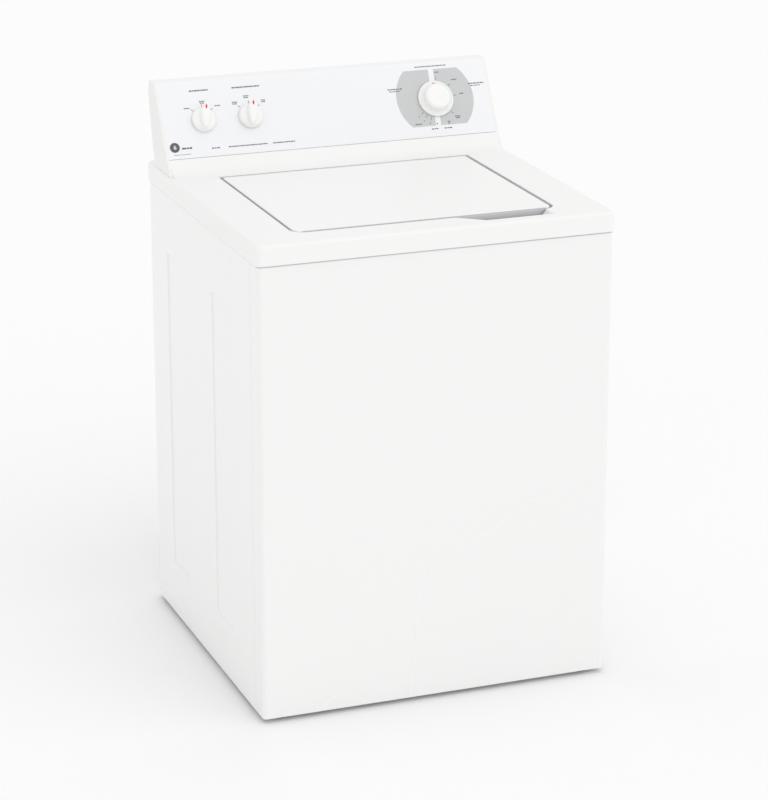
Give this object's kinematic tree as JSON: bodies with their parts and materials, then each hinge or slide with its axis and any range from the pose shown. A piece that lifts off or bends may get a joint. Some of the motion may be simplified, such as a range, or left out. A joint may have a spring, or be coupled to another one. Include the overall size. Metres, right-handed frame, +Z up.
{
  "type": "top load washing machine",
  "caption": "Free-standing top load washing machine with a hinged flush lid, a leaning control console, a hung tub with basket and agitator, and a belt drive.",
  "frame": {"origin": "centre of the overall box on the floor, under the feet", "axes": "+X to the machine's right seen from the front, +Y to its back, +Z up along its height"},
  "size_m": [0.692, 0.678, 1.0772],
  "materials": {
    "cabinet_enamel": "gloss baked enamel",
    "top_enamel": "gloss porcelain enamel",
    "lid_enamel": "gloss enamel",
    "panel_plastic": "satin moulded plastic",
    "end_cap_plastic": "fine grained plastic",
    "knob_plastic": "smooth moulded plastic",
    "zinc_steel": "galvanised sheet",
    "bright_steel": "turned steel",
    "spring_steel": "oiled spring steel",
    "dark_steel": "black dipped steel",
    "cast_alloy": "cast and blasted",
    "basket_enamel": "speckled porcelain enamel",
    "tub_plastic": "filled polypropylene",
    "ring_plastic": "smooth polypropylene",
    "agitator_plastic": "smooth polypropylene",
    "bush_nylon": "natural nylon",
    "black_plastic": "moulded nylon",
    "rubber_black": "moulded rubber",
    "rubber_grey": "soft rubber"
  },
  "bodies": {
    "cabinet": {"cabinet_wrapper": "cabinet_enamel", "front_panel": "cabinet_enamel", "base_frame": "zinc_steel", "corner_brackets": "zinc_steel", "rear_access_panel": "zinc_steel", "rear_panel_screws": "bright_steel", "power_inlet_gland": "black_plastic", "drain_port": "black_plastic", "foot_nuts": "bright_steel", "top_cover": "top_enamel", "lid_hinge_bushes": "bush_nylon", "lid_bumpers": "rubber_grey", "lid_switch_housing": "black_plastic", "control_panel": "panel_plastic", "end_cap_left": "end_cap_plastic", "end_cap_right": "end_cap_plastic", "console_back_cover": "cabinet_enamel", "console_base_plate": "zinc_steel", "timer_body": "black_plastic", "water_level_switch": "ring_plastic", "temperature_switch": "black_plastic", "inlet_valve_body": "ring_plastic", "inlet_valve_solenoids": "black_plastic", "fill_nozzle": "ring_plastic", "suspension_rods": "bright_steel", "suspension_springs": "spring_steel", "drain_hose": "rubber_black", "pressure_hose": "rubber_black"},
    "tub_assembly": {"outer_tub": "tub_plastic", "tub_cover_ring": "ring_plastic", "tub_bearing": "cast_alloy", "support_platform": "zinc_steel", "gearcase": "cast_alloy", "drive_motor": "dark_steel", "drive_belt": "rubber_black", "drain_pump": "ring_plastic"},
    "basket": {"wash_basket": "basket_enamel", "balance_ring": "ring_plastic", "spin_tube": "bright_steel"},
    "agitator": {"agitator": "agitator_plastic", "agitator_cap": "agitator_plastic", "agitator_shaft": "bright_steel"},
    "drive_pulley": {"drive_pulley": "cast_alloy"},
    "motor_rotor": {"motor_pulley": "dark_steel", "motor_shaft": "bright_steel"},
    "pump_impeller": {"pump_impeller": "black_plastic"},
    "lid": {"lid": "lid_enamel", "lid_inner_panel": "lid_enamel", "lid_hinge_pins": "bright_steel"},
    "lid_switch_lever": {"lid_switch_lever": "bush_nylon"},
    "timer_shaft": {"timer_shaft": "bright_steel"},
    "timer_knob": {"timer_knob": "knob_plastic"},
    "water_level_control": {"water_level_knob": "knob_plastic", "water_level_shaft": "bright_steel"},
    "temperature_control": {"temperature_knob": "knob_plastic", "temperature_shaft": "bright_steel"},
    "foot_front_left": {"levelling_foot_front_left": "rubber_black"},
    "foot_front_right": {"levelling_foot_front_right": "rubber_black"},
    "foot_rear_left": {"levelling_foot_rear_left": "rubber_black"},
    "foot_rear_right": {"levelling_foot_rear_right": "rubber_black"}
  },
  "joints": [
    {"name": "lid_hinge", "type": "hinge", "parent": "cabinet", "child": "lid", "pos_m": [0, 0.149, 0.907], "axis": [-1, 0, 0], "range_deg": [0, 103]},
    {"name": "lid_switch_tilt", "type": "hinge", "parent": "cabinet", "child": "lid_switch_lever", "pos_m": [0.234, 0.05, 0.876], "axis": [-1, 0, 0], "range_deg": [0, 10.3]},
    {"name": "tub_bounce", "type": "slide", "parent": "cabinet", "child": "tub_assembly", "axis": [0, 0, 1], "range_m": [-0.012, 0.008], "stiffness_N_per_m": 10000, "springref_m": 0.0443, "deforming": ["suspension_springs", "drain_hose", "pressure_hose"]},
    {"name": "basket_spin", "type": "hinge", "parent": "tub_assembly", "child": "basket", "pos_m": [0, 0, 0.3], "axis": [0, 0, 1], "continuous": true},
    {"name": "agitator_stroke", "type": "hinge", "parent": "basket", "child": "agitator", "pos_m": [0, 0, 0.3], "axis": [0, 0, 1], "range_deg": [-105, 105]},
    {"name": "drive_pulley_turn", "type": "hinge", "parent": "tub_assembly", "child": "drive_pulley", "pos_m": [0, 0, 0.105], "axis": [0, 0, 1], "continuous": true},
    {"name": "motor_turn", "type": "hinge", "parent": "tub_assembly", "child": "motor_rotor", "pos_m": [0, -0.178, 0.105], "axis": [0, 0, 1], "continuous": true},
    {"name": "pump_spin", "type": "hinge", "parent": "tub_assembly", "child": "pump_impeller", "pos_m": [0.135, 0.15, 0.16], "axis": [0, 0, 1], "continuous": true},
    {"name": "timer_turn", "type": "hinge", "parent": "cabinet", "child": "timer_shaft", "pos_m": [0.223, 0.249, 1.01055], "axis": [0, -0.866, 0.5], "continuous": true},
    {"name": "timer_pull", "type": "slide", "parent": "timer_shaft", "child": "timer_knob", "axis": [0, -0.866, 0.5], "range_m": [0, 0.006]},
    {"name": "water_level_turn", "type": "hinge", "parent": "cabinet", "child": "water_level_control", "pos_m": [-0.257, 0.247, 1.00709], "axis": [0, -0.866, 0.5], "range_deg": [-42, 58]},
    {"name": "temperature_turn", "type": "hinge", "parent": "cabinet", "child": "temperature_control", "pos_m": [-0.162, 0.247, 1.00709], "axis": [0, -0.866, 0.5], "range_deg": [-38, 52]},
    {"name": "z_level_foot_front_left", "type": "slide", "parent": "cabinet", "child": "foot_front_left", "axis": [0, 0, -1], "range_m": [0, 0.015]},
    {"name": "z_level_foot_front_right", "type": "slide", "parent": "cabinet", "child": "foot_front_right", "axis": [0, 0, -1], "range_m": [0, 0.015]},
    {"name": "z_level_foot_rear_left", "type": "slide", "parent": "cabinet", "child": "foot_rear_left", "axis": [0, 0, -1], "range_m": [0, 0.015]},
    {"name": "z_level_foot_rear_right", "type": "slide", "parent": "cabinet", "child": "foot_rear_right", "axis": [0, 0, -1], "range_m": [0, 0.015]}
  ],
  "couplings": [
    {"joint": "lid_switch_tilt", "follows": "lid_hinge", "ratio": 0.1},
    {"joint": "drive_pulley_turn", "follows": "basket_spin", "ratio": 1},
    {"joint": "motor_turn", "follows": "basket_spin", "ratio": 3.4186}
  ]
}
